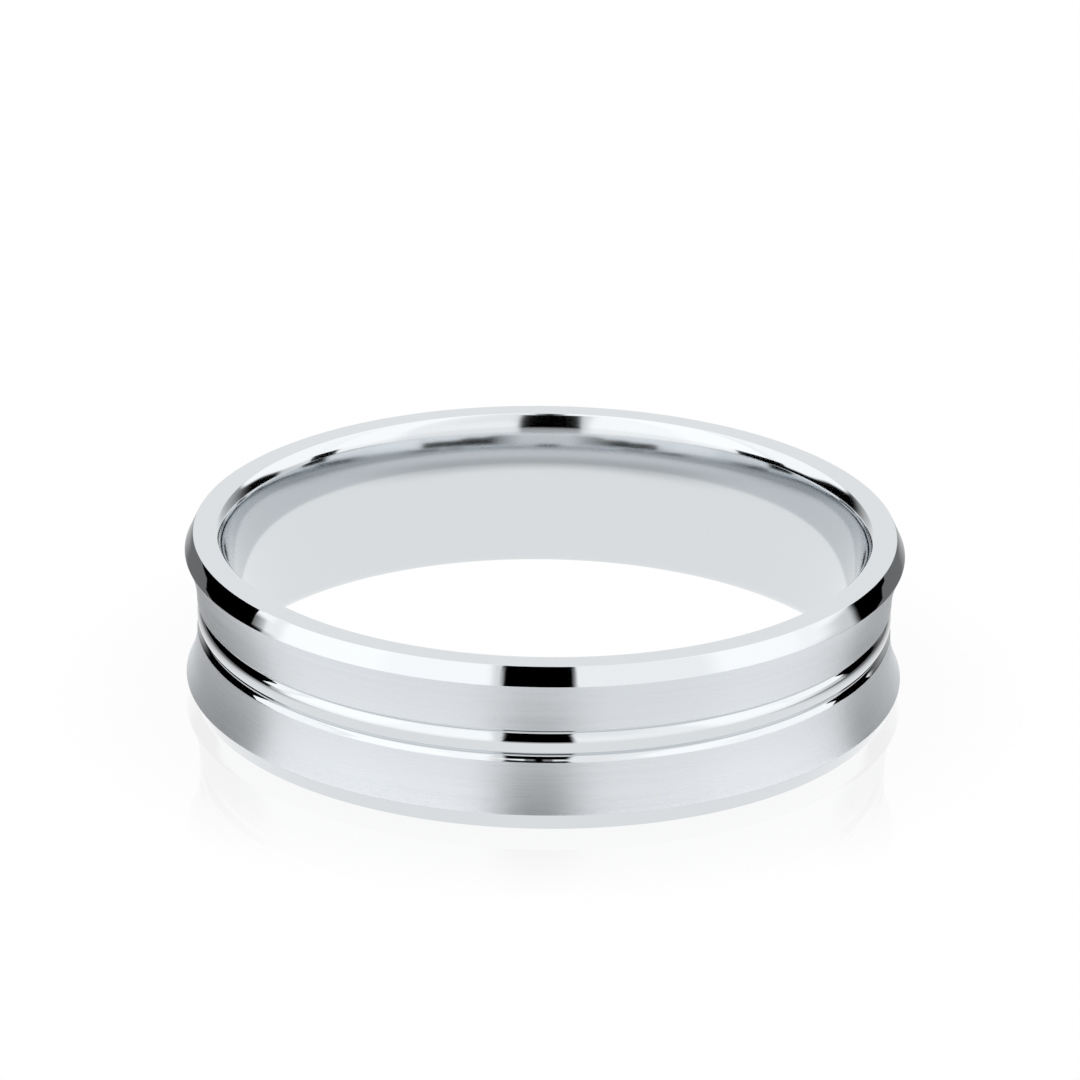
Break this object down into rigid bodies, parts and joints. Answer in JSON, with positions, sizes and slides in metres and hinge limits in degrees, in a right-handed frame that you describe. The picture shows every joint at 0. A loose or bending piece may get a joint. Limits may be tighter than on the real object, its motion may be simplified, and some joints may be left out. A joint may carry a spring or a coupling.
{
  "type": "wedding band",
  "caption": "Comfort-fit finger ring turned from one piece: flat edge faces, polished bevels, two hollow satin belts and a polished round groove between them.",
  "frame": {"origin": "on the finger axis, at the level of the lower edge face that the band rests on", "axes": "+Z along the finger axis, up through the upper edge face; the band is round, so +X and +Y point across it in any direction"},
  "size_m": [0.0216, 0.0216, 0.005],
  "materials": {
    "white_gold": "white gold or platinum colour; mirror polish on the edge faces, bevels, groove and bore, fine satin brushed round the two outer belts"
  },
  "bodies": {
    "root": {"band": "white_gold"}
  },
  "joints": []
}
